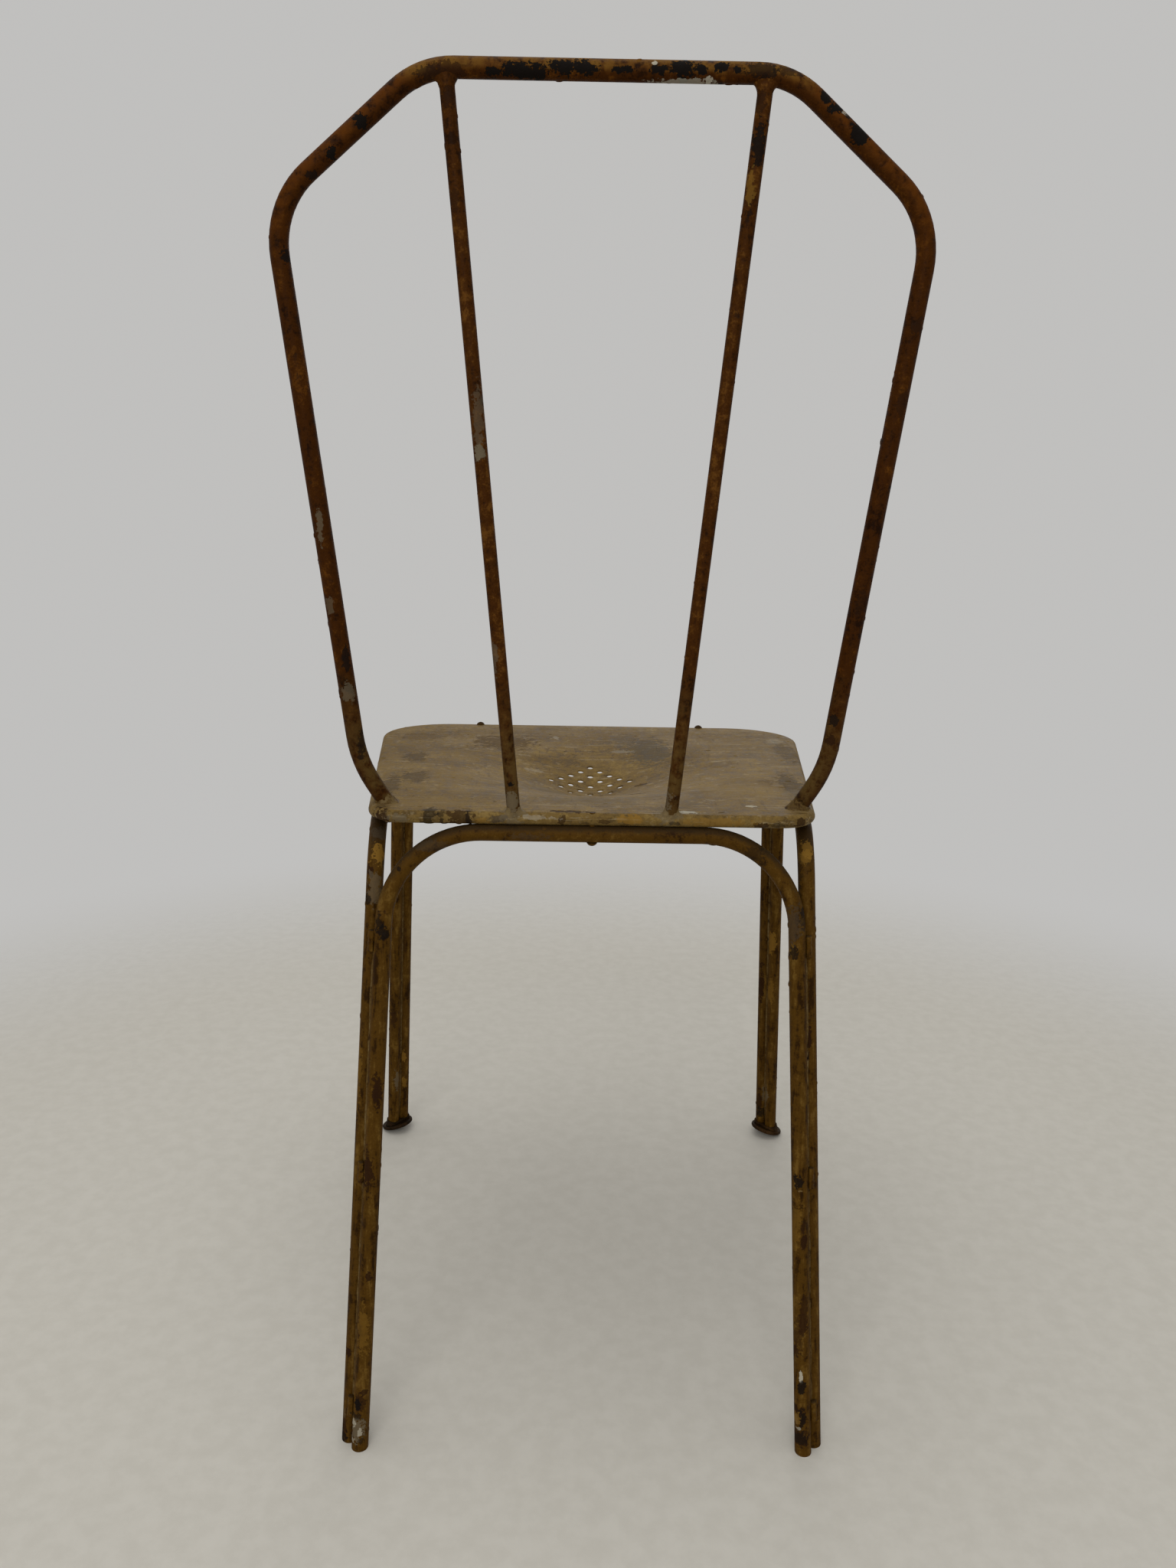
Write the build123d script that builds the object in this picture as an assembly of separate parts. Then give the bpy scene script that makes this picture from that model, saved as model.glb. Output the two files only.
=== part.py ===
from build123d import *

import os
from math import atan2, cos, degrees, radians, sin, tan

# Garden chair of bent and welded steel tube with a pressed, perforated seat pan.
# Millimetres, +Z up, floor at Z = 0. The sitter faces -Y, so their left side is +X.

# Stock and joints
TUBE_D = 12.0            # outside diameter of the frame and hoop tube
TUBE_WALL = 1.2
SPINDLE_D = 9.2          # solid round bar
FIT = 0.2                # gap left wherever two pieces seat, touch or are welded

# Seat pan: a tapered sheet with its edge rolled under, a round dish and a diamond of drain holes
SEAT_HEIGHT = 465.0      # flat margin above the floor
SEAT_DEPTH = 356.0
SEAT_REAR_WIDTH = 311.0
SEAT_FRONT_WIDTH = 398.0
REAR_CORNER_R = 28.0
FRONT_CORNER_R = 60.0
SHEET = 1.2
RIM_D = 9.0              # outside diameter of the rolled edge
RIM_CURL = 270.0         # degrees of the roll, over the edge and back under the margin
DISH_D = 300.0
DISH_DEPTH = 24.0
DISH_FLOOR_R = 75.0      # curvature at the bottom of the dish
DISH_MARGIN = 7.0        # from the dish to the seat's rear edge
HOLE_D = 5.2
HOLE_PITCH = 16.4        # side to side within a row
HOLE_ROW_PITCH = 8.2     # front to back between rows
HOLES_IN_MIDDLE_ROW = 5

# Legs: two arches across the chair and two hoops along its sides, paired at each corner
REAR_ARCH_SPAN = 284.0   # across the arch at frame height, tube centres
REAR_FOOT_SPAN = 324.0   # across the same arch at the floor
REAR_SPLAY = 57.0        # foot behind the top of the arch
FRONT_ARCH_SPAN = 353.0
FRONT_FOOT_SPAN = 399.0
FRONT_SPLAY = 65.0       # foot ahead of the top of the arch
ARCH_BEND_R = 68.0
SIDE_BEND_R = 40.0
PAIR_ANGLE = 45.0        # plan angle between an arch leg and the hoop leg beside it

# Back: one bent hoop standing on the seat, with two spindles inside it
HOOP_SETBACK = 28.0      # hoop feet ahead of the seat's rear edge
HOOP_LEAN = 6.3          # degrees from upright
HOOP_FOOT_SPAN = 293.0
HOOP_KNEE_SPAN = 329.0
HOOP_KNEE_RISE = 30.0    # rises are measured from the seat rim
HOOP_SHOULDER_SPAN = 402.6
HOOP_SHOULDER_RISE = 381.0
HOOP_TOP_SPAN = 218.0
HOOP_TOP_RISE = 456.0
HOOP_KNEE_R = 85.0
HOOP_SHOULDER_R = 55.0
HOOP_TOP_R = 55.0
SPINDLE_FOOT_SPAN = 109.0
SPINDLE_TOP_SPAN = 189.4

# Front glides: round pads under the paired front legs, bent up so that they stand on their outer edge
GLIDE_D = 33.0
GLIDE_T = 4.0
GLIDE_EDGE_R = 1.6
GLIDE_TILT = 16.0        # degrees from level
GLIDE_FALL = 26.0        # plan angle of the tilt, from straight outwards to the front

# Rivets through the rim and the arches
RIVET_D = 4.0
RIVET_HEAD_D = 7.5
RIVET_HEAD_H = 2.4
FRONT_RIVET_SPAN = 212.0

# Welds
COLLAR_LEG = 3.2         # width of a weld collar on the face that it stands on
COLLAR_RISE = 5.5        # height of a weld collar along its bar
COLLAR_HOLLOW_R = 11.0   # hollow face of a collar
COLLAR_EDGE = 0.4        # thickness left at the top of a collar
GLIDE_WELD_LEG = 2.2     # weld round a pair of front legs on their glide
GLIDE_WELD_RISE = 6.5
GLIDE_WELD_TAPER = 12.0
BEAD_R = 3.2             # beads in the groove between paired legs
BEAD_LENGTH = 16.0
LEG_BEAD_HEIGHTS = (30.0, 205.0, 372.0)
RAIL_BEAD_SHARES = (0.15, 0.4, 0.65)

# Derived places
TUBE_R = TUBE_D / 2
SPINDLE_R = SPINDLE_D / 2
RIM_R = RIM_D / 2
RIM_Z = SEAT_HEIGHT - RIM_D               # underside of the rolled edge
FRAME_Z = RIM_Z - FIT - TUBE_R            # tube centres under the seat
REAR_EDGE_Y = SEAT_DEPTH / 2
FRONT_EDGE_Y = -SEAT_DEPTH / 2
REAR_RIM_Y = REAR_EDGE_Y - RIM_R          # middle of the roll at the back
FRONT_RIM_Y = FRONT_EDGE_Y + RIM_R
DISH_Y = REAR_EDGE_Y - DISH_MARGIN - DISH_D / 2
RIM_ROLL = (RIM_R, -RIM_R)                # roll's centre: in from the seat edge, down from the margin
SIDES = {"left": 1, "right": -1}
UP = Vector(0, 0, 1)
PAIR_STEP = TUBE_D + FIT
PAIR_OUT = PAIR_STEP * cos(radians(PAIR_ANGLE))
PAIR_ALONG = PAIR_STEP * sin(radians(PAIR_ANGLE))


def mirrored(point):
    return Vector(-point.X, point.Y, point.Z)


def on_side(point, side):
    return point if side > 0 else mirrored(point)


def beyond(start, end, distance):
    return end + (end - start).normalized() * distance


def along(start, end, height):
    return start + (end - start) * ((height - start.Z) / (end.Z - start.Z))


def bar(path, radius):
    return sweep((path ^ 0) * Circle(radius), path=path)


def tube(path):
    section = Circle(TUBE_R) - Circle(TUBE_R - TUBE_WALL)
    return sweep((path ^ 0) * section, path=path)


def sleeve(path):
    """The space that a tube takes from its neighbours, with the fit around it."""
    return bar(path, TUBE_R + FIT)


def biggest(shape):
    return max(shape.solids(), key=lambda solid: solid.volume)


# Leg lines, left side: arch leg and hoop leg at the back and at the front
REAR_TOP = Vector(REAR_ARCH_SPAN / 2, REAR_RIM_Y, FRAME_Z)
REAR_FOOT = Vector(REAR_FOOT_SPAN / 2, REAR_RIM_Y + REAR_SPLAY, 0)
FRONT_TOP = Vector(FRONT_ARCH_SPAN / 2, FRONT_RIM_Y, FRAME_Z)
FRONT_FOOT = Vector(FRONT_FOOT_SPAN / 2, FRONT_RIM_Y - FRONT_SPLAY, 0)
TO_REAR_MATE = Vector(PAIR_OUT, -PAIR_ALONG, 0)
TO_FRONT_MATE = Vector(PAIR_OUT, PAIR_ALONG, 0)


def arch_path(top, foot):
    end = beyond(top, foot, TUBE_D)
    points = [end, top, mirrored(top), mirrored(end)]
    return FilletPolyline(*points, radius=[ARCH_BEND_R, ARCH_BEND_R])


def side_path(side):
    rear_top = REAR_TOP + TO_REAR_MATE
    front_top = FRONT_TOP + TO_FRONT_MATE
    rear_end = beyond(rear_top, REAR_FOOT + TO_REAR_MATE, TUBE_D)
    front_end = beyond(front_top, FRONT_FOOT + TO_FRONT_MATE, TUBE_D)
    points = [on_side(point, side) for point in (rear_end, rear_top, front_top, front_end)]
    return FilletPolyline(*points, radius=[SIDE_BEND_R, SIDE_BEND_R])


def under_floor():
    reach = 2 * (SEAT_DEPTH + REAR_SPLAY + FRONT_SPLAY)
    return Box(reach, reach, SEAT_HEIGHT, align=(Align.CENTER, Align.CENTER, Align.MAX))


# Seat pan
def seat_outline():
    rear = SEAT_REAR_WIDTH / 2
    front = SEAT_FRONT_WIDTH / 2
    corners = [(rear, REAR_EDGE_Y), (-rear, REAR_EDGE_Y), (-front, FRONT_EDGE_Y), (front, FRONT_EDGE_Y)]
    radii = [REAR_CORNER_R, REAR_CORNER_R, FRONT_CORNER_R, FRONT_CORNER_R]
    return make_face(FilletPolyline(*corners, radius=radii, close=True))


def rim_section():
    """Rolled edge in its own plane: X inwards from the seat edge, Y up from the margin."""
    outer = CenterArc(RIM_ROLL, RIM_R, 90, RIM_CURL)
    inner = CenterArc(RIM_ROLL, RIM_R - SHEET, 90, RIM_CURL)
    return make_face([outer, inner, Line(outer @ 0, inner @ 0), Line(outer @ 1, inner @ 1)])


def rim_space():
    """The whole round of the rolled edge with the fit about it, in the same plane."""
    return Pos(*RIM_ROLL) * Circle(RIM_R + FIT)


def rim_ring(outline, section):
    """A section of the edge carried round the outline: along its straights and about its corners."""
    ring = Part()
    for edge in outline.edges():
        start = edge @ 0
        forward = edge % 0
        inward = UP.cross(forward)
        edge_top = Vector(start.X, start.Y, SEAT_HEIGHT)
        plane = Plane(edge_top, x_dir=inward, z_dir=inward.cross(UP))
        if edge.geom_type == GeomType.LINE:
            ring += extrude(plane * section, amount=edge.length, dir=forward)
        else:
            centre = edge.arc_center
            turn = degrees(edge.length / edge.radius)
            ring += revolve(plane * section, Axis((centre.X, centre.Y, 0), (0, 0, 1)), turn)
    return ring


def dish():
    """Round dish as a sheet of revolution: a hollow floor that turns over into the margin."""
    radius = DISH_D / 2
    both = (radius ** 2 + DISH_DEPTH ** 2) / (2 * DISH_DEPTH)
    lip_r = both - DISH_FLOOR_R
    turn = degrees(atan2(radius, both - DISH_DEPTH))
    floor = (0, DISH_FLOOR_R - DISH_DEPTH + SHEET)
    lip = (radius, SHEET - lip_r)
    upper_floor = CenterArc(floor, DISH_FLOOR_R, -90, turn)
    lower_floor = CenterArc(floor, DISH_FLOOR_R + SHEET, -90, turn)
    upper_lip = CenterArc(lip, lip_r, 90, turn)
    lower_lip = CenterArc(lip, lip_r - SHEET, 90, turn)
    ends = [Line(upper_floor @ 0, lower_floor @ 0), Line(upper_lip @ 0, lower_lip @ 0)]
    profile = make_face([upper_floor, lower_floor, upper_lip, lower_lip, *ends])
    return revolve(Plane.XZ * profile, Axis.Z)


def drain_holes():
    half = HOLES_IN_MIDDLE_ROW - 1
    depth = 2 * (RIM_D + DISH_DEPTH)
    holes = []
    for row in range(-half, half + 1):
        count = HOLES_IN_MIDDLE_ROW - abs(row)
        for column in range(count):
            x = (column - (count - 1) / 2) * HOLE_PITCH
            holes.append(Pos(x, row * HOLE_ROW_PITCH, SEAT_HEIGHT) * Cylinder(HOLE_D / 2, depth))
    return holes


def seat_pan(outline, rivet_holes):
    plate = extrude(offset(outline, amount=-RIM_R), SHEET)
    plate -= Pos(0, DISH_Y, 0) * Cylinder(DISH_D / 2, 2 * RIM_D)
    plate += Pos(0, DISH_Y, 0) * dish()
    pan = Pos(0, 0, SEAT_HEIGHT - SHEET) * plate + rim_ring(outline, rim_section())
    return pan - drain_holes() - rivet_holes


# Back
def back_point(span, rise):
    y = REAR_EDGE_Y - HOOP_SETBACK + rise * tan(radians(HOOP_LEAN))
    return Vector(span / 2, y, SEAT_HEIGHT + rise)


HOOP_FOOT = back_point(HOOP_FOOT_SPAN, 0)
HOOP_KNEE = back_point(HOOP_KNEE_SPAN, HOOP_KNEE_RISE)
SPINDLE_FOOT = Vector(SPINDLE_FOOT_SPAN / 2, REAR_RIM_Y, SEAT_HEIGHT + FIT)
SPINDLE_TOP = back_point(SPINDLE_TOP_SPAN, HOOP_TOP_RISE)


def hoop_path():
    half = [
        beyond(HOOP_KNEE, HOOP_FOOT, TUBE_D),
        HOOP_KNEE,
        back_point(HOOP_SHOULDER_SPAN, HOOP_SHOULDER_RISE),
        back_point(HOOP_TOP_SPAN, HOOP_TOP_RISE),
    ]
    points = half + [mirrored(point) for point in reversed(half)]
    radii = [HOOP_KNEE_R, HOOP_SHOULDER_R, HOOP_TOP_R]
    return FilletPolyline(*points, radius=radii + radii[::-1])


def spindle_bar(side):
    foot = on_side(SPINDLE_FOOT, side)
    top = on_side(SPINDLE_TOP, side)
    rod = bar(Line(beyond(top, foot, SPINDLE_D), top), SPINDLE_R)
    return rod - Pos(0, 0, SPINDLE_FOOT.Z) * under_floor()


# Glides
def glide_plane(side):
    """Underside of a front glide, tipped so that its outer edge stands on the floor."""
    tilt = radians(GLIDE_TILT)
    lift = (GLIDE_D / 2 - GLIDE_EDGE_R) * sin(tilt) + GLIDE_EDGE_R * (1 - cos(tilt))
    centre = on_side(FRONT_FOOT + TO_FRONT_MATE / 2, side) + Vector(0, 0, lift)
    fall = Vector(side * cos(radians(GLIDE_FALL)), -sin(radians(GLIDE_FALL)), 0)
    normal = fall * sin(tilt) + Vector(0, 0, cos(tilt))
    return Plane(centre, z_dir=normal)


def glide(side):
    pad = Cylinder(GLIDE_D / 2, GLIDE_T, align=(Align.CENTER, Align.CENTER, Align.MIN))
    pad = fillet(pad.edges().filter_by(GeomType.CIRCLE), GLIDE_EDGE_R)
    return glide_plane(side) * pad


def under_glide(side):
    reach = 2 * GLIDE_D
    below = Box(reach, reach, reach, align=(Align.CENTER, Align.CENTER, Align.MAX))
    return glide_plane(side) * Pos(0, 0, GLIDE_T + FIT) * below


# Rivets
def rivet_shank(x, y, radius):
    return Pos(x, y, FRAME_Z) * Cylinder(radius, SEAT_HEIGHT)


def rivet(x, y, crown):
    """Shank through the tube and the rolled rim, a domed head below and, if crown, one above."""
    dome_r = ((RIVET_HEAD_D / 2) ** 2 + RIVET_HEAD_H ** 2) / (2 * RIVET_HEAD_H)
    dome = Pos(0, 0, RIVET_HEAD_H - dome_r) * Sphere(dome_r)
    dome &= Box(RIVET_HEAD_D, RIVET_HEAD_D, RIVET_HEAD_H, align=(Align.CENTER, Align.CENTER, Align.MIN))
    bottom = FRAME_Z - TUBE_R - FIT
    top = SEAT_HEIGHT + FIT
    shank = Cylinder(RIVET_D / 2, top - bottom, align=(Align.CENTER, Align.CENTER, Align.MIN))
    body = Pos(0, 0, bottom) * shank + Pos(0, 0, bottom) * Rot(180, 0, 0) * dome
    if crown:
        body += Pos(0, 0, top) * dome
    return Pos(x, y, 0) * body


# Welds
def collar(start, end, radius, sunk):
    """Hollow-faced weld round a bar that starts on a surface at start and runs to end."""
    inner = radius + FIT
    base = inner + COLLAR_LEG
    top = (inner + COLLAR_EDGE, COLLAR_RISE)
    arc = RadiusArc((base, 0), top, -COLLAR_HOLLOW_R)
    outline = Polyline(top, (inner, COLLAR_RISE), (inner, -sunk), (base, -sunk), (base, 0))
    solid = revolve(Plane.XZ * make_face([arc, outline]), Axis.Z)
    return Plane(start, z_dir=end - start) * solid


def pair_holes(spacing):
    """The space of two paired tubes across their length: X from one tube to the other."""
    tubes = [Pos(side * spacing / 2, 0) * Circle(TUBE_R + FIT) for side in SIDES.values()]
    return tubes[0] + tubes[1]


def pair_plane(foot, top, mate, side, height):
    """Plane square to two paired legs, midway between them: X to the mate, Y out of the chair."""
    start = on_side(foot, side)
    end = on_side(top, side)
    step = on_side(mate, side)
    direction = (end - start).normalized()
    square = step - direction * step.dot(direction)
    if direction.cross(square).dot(Vector(step.X, -step.Y, 0)) < 0:
        direction = direction * -1
    return Plane(along(start, end, height) + step / 2, x_dir=square, z_dir=direction), square.length


def leg_welds(foot, top, mate, side):
    """Beads in the groove between two paired legs, on the side that faces out of the chair."""
    beads = []
    for height in LEG_BEAD_HEIGHTS:
        plane, spacing = pair_plane(foot, top, mate, side, height)
        rounds = Pos(0, TUBE_R - BEAD_R / 2) * Circle(BEAD_R) - pair_holes(spacing)
        section = max(rounds.faces(), key=lambda face: face.area)
        beads.append(extrude(plane * section, amount=BEAD_LENGTH / 2, both=True))
    return Compound(beads)


def rail_welds(side, rail_sleeve, rim_bar):
    """Beads between a side rail and the rolled edge above it, on their inner side."""
    rear = on_side(REAR_TOP + TO_REAR_MATE, side)
    front = on_side(FRONT_TOP + TO_FRONT_MATE, side)
    direction = (front - rear).normalized()
    inward = direction.cross(UP) * side
    out = inward * (BEAD_R / 4) + UP * (TUBE_R + BEAD_R / 4)
    beads = []
    for share in RAIL_BEAD_SHARES:
        plane = Plane(rear + (front - rear) * share + out, z_dir=direction)
        bead = plane * Cylinder(BEAD_R, BEAD_LENGTH)
        beads.append(biggest(bead - rail_sleeve - rim_bar))
    return Compound(beads)


def glide_weld(side):
    """One weld round both front legs where they stand on their glide."""
    height = glide_plane(side).origin.Z + GLIDE_T + FIT
    plane, spacing = pair_plane(FRONT_FOOT, FRONT_TOP, TO_FRONT_MATE, side, height)
    up = plane.z_dir.Z / abs(plane.z_dir.Z)
    oval = SlotCenterToCenter(spacing, TUBE_D + 2 * (FIT + GLIDE_WELD_LEG))
    weld = extrude(plane * oval, amount=up * GLIDE_WELD_RISE, taper=GLIDE_WELD_TAPER)
    weld += extrude(plane * oval, amount=-up * GLIDE_T)
    weld -= extrude(plane * pair_holes(spacing), amount=2 * GLIDE_WELD_RISE, both=True)
    return biggest(weld - under_glide(side))


# Assembly
floor = under_floor()
pad_spaces = {name: under_glide(side) for name, side in SIDES.items()}
rear_arch_path = arch_path(REAR_TOP, REAR_FOOT)
front_arch_path = arch_path(FRONT_TOP, FRONT_FOOT)
front_rivet_x = [side * FRONT_RIVET_SPAN / 2 for side in SIDES.values()]
rear_rivet_hole = rivet_shank(0, REAR_RIM_Y, RIVET_D / 2 + FIT)
front_rivet_holes = [rivet_shank(x, FRONT_RIM_Y, RIVET_D / 2 + FIT) for x in front_rivet_x]
outline = seat_outline()
pan = seat_pan(outline, [rear_rivet_hole, *front_rivet_holes])
lifted_pan = Pos(0, 0, FIT) * pan
rim_bar = rim_ring(outline, rim_space())
below_seat = Pos(0, 0, SEAT_HEIGHT + FIT) * floor
back_path = hoop_path()
back_sleeve = sleeve(back_path)

nodes = {
    "seat_pan": pan,
    "back_hoop": tube(back_path) - below_seat,
    "rear_arch": tube(rear_arch_path) - floor - rear_rivet_hole,
    "front_arch": tube(front_arch_path) - list(pad_spaces.values()) - front_rivet_holes,
    "rear_seat_rivet": rivet(0, REAR_RIM_Y, crown=False),
    "front_seat_rivets": Compound([rivet(x, FRONT_RIM_Y, crown=True) for x in front_rivet_x]),
}
spindle_top_welds = []
spindle_foot_welds = []
glide_welds = []
for name, side in SIDES.items():
    path = side_path(side)
    side_sleeve = sleeve(path)
    nodes[f"{name}_side_hoop"] = tube(path) - floor - pad_spaces[name]
    nodes[f"front_{name}_glide"] = glide(side)
    rod = spindle_bar(side)
    nodes[f"{name}_spindle"] = biggest(rod - back_sleeve)

    hoop_collar = collar(on_side(HOOP_FOOT, side), on_side(HOOP_KNEE, side), TUBE_R, TUBE_D)
    nodes[f"{name}_hoop_weld"] = biggest(hoop_collar - below_seat)

    rod_foot = on_side(SPINDLE_FOOT, side)
    rod_top = on_side(SPINDLE_TOP, side)
    under_bar = beyond(rod_foot, rod_top, -TUBE_R)
    spindle_top_welds.append(biggest(collar(under_bar, rod_foot, SPINDLE_R, COLLAR_LEG) - back_sleeve))
    spindle_foot_welds.append(biggest(collar(rod_foot, rod_top, SPINDLE_R, COLLAR_LEG) - lifted_pan))

    rear_welds = leg_welds(REAR_FOOT, REAR_TOP, TO_REAR_MATE, side)
    front_welds = leg_welds(FRONT_FOOT, FRONT_TOP, TO_FRONT_MATE, side)
    nodes[f"rear_{name}_leg_welds"] = rear_welds
    nodes[f"front_{name}_leg_welds"] = front_welds
    nodes[f"{name}_rail_welds"] = rail_welds(side, side_sleeve, rim_bar)
    glide_welds.append(glide_weld(side))
nodes["spindle_top_welds"] = Compound(spindle_top_welds)
nodes["spindle_foot_welds"] = Compound(spindle_foot_welds)
nodes["glide_welds"] = Compound(glide_welds)

# The origin lies on the floor under the middle of the finished chair
box = Compound([solid for node in nodes.values() for solid in node.solids()]).bounding_box()
to_origin = Pos(-box.center().X, -box.center().Y, -box.min.Z)
os.makedirs("parts", exist_ok=True)
for name, node in nodes.items():
    export_step(to_origin * node, os.path.join("parts", f"{name}.step"))
print("moved by", to_origin.position, "overall", box.size)
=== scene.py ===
import random
from math import copysign, cos, pi, radians, sin, sqrt, tau

import bmesh
import bpy
from mathutils import Matrix, Vector, noise
from mathutils.bvhtree import BVHTree


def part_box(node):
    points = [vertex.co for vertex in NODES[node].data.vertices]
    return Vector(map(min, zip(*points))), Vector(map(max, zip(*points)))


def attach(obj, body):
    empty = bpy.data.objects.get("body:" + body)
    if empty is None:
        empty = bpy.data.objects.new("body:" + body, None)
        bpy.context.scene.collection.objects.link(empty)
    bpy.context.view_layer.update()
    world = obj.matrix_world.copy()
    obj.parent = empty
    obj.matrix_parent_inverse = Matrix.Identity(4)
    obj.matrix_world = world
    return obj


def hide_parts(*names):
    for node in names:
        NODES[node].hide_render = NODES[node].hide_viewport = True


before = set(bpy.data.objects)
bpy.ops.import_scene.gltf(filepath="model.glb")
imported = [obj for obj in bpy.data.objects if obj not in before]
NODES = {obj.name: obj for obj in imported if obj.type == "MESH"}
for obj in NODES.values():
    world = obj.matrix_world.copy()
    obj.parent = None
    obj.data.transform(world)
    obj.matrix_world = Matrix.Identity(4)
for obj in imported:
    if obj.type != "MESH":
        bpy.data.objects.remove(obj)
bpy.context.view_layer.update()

SCENE = bpy.context.scene
SCENE.view_settings.view_transform = "Standard"
CAD_STATE = bpy.context.evaluated_depsgraph_get()
SURFACES = {name: BVHTree.FromObject(node, CAD_STATE) for name, node in NODES.items()}
SIDES = ((1, "left"), (-1, "right"))
FRAME_TUBES = ("rear_arch", "front_arch", "left_side_hoop", "right_side_hoop")

# Camera, from behind the chair: place in metres, angles in degrees, focal length in pixels of the photograph
PICTURE_WIDTH = 1536
PICTURE_HEIGHT = 2048
FOCAL_PIXELS = 1565.9
CAMERA_PLACE = Vector((0.01019, 0.98632, 0.66663))
CAMERA_YAW = -0.482
CAMERA_PITCH = -12.683
CAMERA_ROLL = 1.0
CAMERA_NEAREST = 0.01
SENSOR = 36.0

# Stage: colours, sizes in metres, and each light's name, place, target, size and watts
BACKDROP = (0.53, 0.525, 0.515, 1)
AMBIENT = 0.40
FLOOR_PALE = (0.65, 0.62, 0.55, 1)
FLOOR_DIM = (0.61, 0.58, 0.51, 1)
FLOOR_GRAIN = (60, 6)
FLOOR_BLEND = (0.3, 0.7)
FLOOR_ROUGHNESS = 0.8
FLOOR_SPECULAR = 0.2
FLOOR_RADIUS = 3.0
FLOOR_SIDES = 96
FLOOR_FADE = (0.7, 1.4)
LIGHTS = (
    ("top_light", (0.3, 0.2, 2.8), (0, 0, 0.4), 2.6, 21.5),
    ("key_light", (0.35, 2.5, 1.7), (0, 0, 0.5), 1.8, 22.0),
    ("fill_light", (-0.4, -2.5, 1.5), (0, 0, 0.5), 1.8, 9.0),
)

# Paint colours, linear: each paint's tones from dull to bright, then chips, the painted dark sheen and shade
# of upper sides, tints and scratches
HOOP_TONES = ((0.015, 0.0047, 0.0010, 1), (0.046, 0.0135, 0.0012, 1), (0.112, 0.038, 0.0036, 1))
SPINDLE_TONES = ((0.020, 0.0066, 0.0012, 1), (0.053, 0.0165, 0.0017, 1), (0.124, 0.048, 0.0070, 1))
FRAME_TONES = ((0.026, 0.0105, 0.0016, 1), (0.078, 0.0355, 0.0038, 1), (0.150, 0.080, 0.0145, 1))
SEAT_TONES = ((0.094, 0.058, 0.019, 1), (0.160, 0.099, 0.029, 1), (0.228, 0.149, 0.046, 1))
# the groove paint's paler tones are partly a painted highlight, where a tube's edge in the groove catches
# light
PALE_SEAM_AND_HIGHLIGHT_TONES = ((0.045, 0.0220, 0.0050, 1), (0.108, 0.0630, 0.0190, 1), (0.175, 0.118, 0.0480, 1))
GLIDE_TONES = ((0.012, 0.007, 0.003, 1), (0.024, 0.012, 0.0045, 1), (0.055, 0.027, 0.009, 1))
BLACK_CHIP = (0.0080, 0.0058, 0.0045, 1)
RUST_CHIP = (0.026, 0.0100, 0.0036, 1)
# colour of the painted dark sheen and shade laid on upward-facing sides
PAINTED_DARK_SHEEN = (0.021, 0.0140, 0.0076, 1)
OCHRE_TINT = (0.165, 0.082, 0.0130, 1)
RUSSET_TINT = (0.092, 0.0270, 0.0020, 1)
OLIVE_TINT = (0.096, 0.057, 0.0150, 1)
SCRATCH_PALE = (0.330, 0.260, 0.1500, 1)
SCRATCH_DARK = (0.070, 0.046, 0.0220, 1)
MARK_COLOURS = {
    "black": BLACK_CHIP,
    "rust": RUST_CHIP,
    "grey": (0.150, 0.118, 0.072, 1),
    "white": (0.480, 0.440, 0.340, 1),
    "ochre": (0.260, 0.135, 0.0200, 1),
    "dull": (0.066, 0.048, 0.0300, 1),
    "stain": (0.080, 0.049, 0.0210, 1),
    "blue": (0.088, 0.074, 0.0540, 1),
    "sand": (0.218, 0.146, 0.0580, 1),
}

# Tints of a paint: colour, strength, and the heights in metres at which it starts and is full
HOOP_TINTS = (
    (RUSSET_TINT, 0.9, 0.80, 0.87),
    (OCHRE_TINT, 0.75, 0.905, 0.925),
    (OLIVE_TINT, 0.75, 0.57, 0.49),
)
SPINDLE_TINTS = ((OLIVE_TINT, 0.8, 0.57, 0.49),)

# Scratches on the seat: colour, strength, stretch of the noise that draws them, and its shift in metres
SEAT_SCRATCHES = (
    (SCRATCH_PALE, 0.5, (0.07, 1, 1), 2.0),
    (SCRATCH_DARK, 0.6, (0.10, 0.8, 1), 5.0),
    (SCRATCH_DARK, 0.45, (1, 0.12, 1), 8.0),
    (SCRATCH_PALE, 0.3, (0.5, 0.4, 1), 9.0),
)

# Paint patterns: features in each metre and layers of finer noise
BROAD = (24, 3)
MOTTLE = (170, 4)
GRAIN = (700, 3)
STREAK = (230, 3)
CHIP = (90, 5)
SCRATCH = (320, 3)
RAGGED_COARSE = (150, 3)
RAGGED_FINE = (480, 4)
NOISE_ROUGHNESS = 0.6
NOISE_MIDDLE = 0.5
PATTERN_SHIFT = (1, 0.7, 0.3)
SCRATCH_SHIFT = (1, 0.4, 0)
STREAK_STRETCH = (1, 1, 0.06)

# How far each pattern swings a tone, an edge, the relief or the roughness
BROAD_SWING = 0.8
MOTTLE_SWING = 1.1
GRAIN_SWING = 0.6
# swing of the edge of the painted dark sheen and shade on upper sides
PAINTED_SHEEN_SWING = 1.0
TINT_SWING = 0.06
COARSE_SWING = 2.2
FINE_SWING = 2.6
CHIP_SHARE = 0.7
BROAD_CHIP_SHARE = 0.3
RUST_SHARE = 0.8
RUST_WEAR = 0.5
RELIEF_MOTTLE = 0.7
RELIEF_GRAIN = 0.45
RELIEF_WEAR = 0.5
ROUGH_WEAR = 0.25

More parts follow.
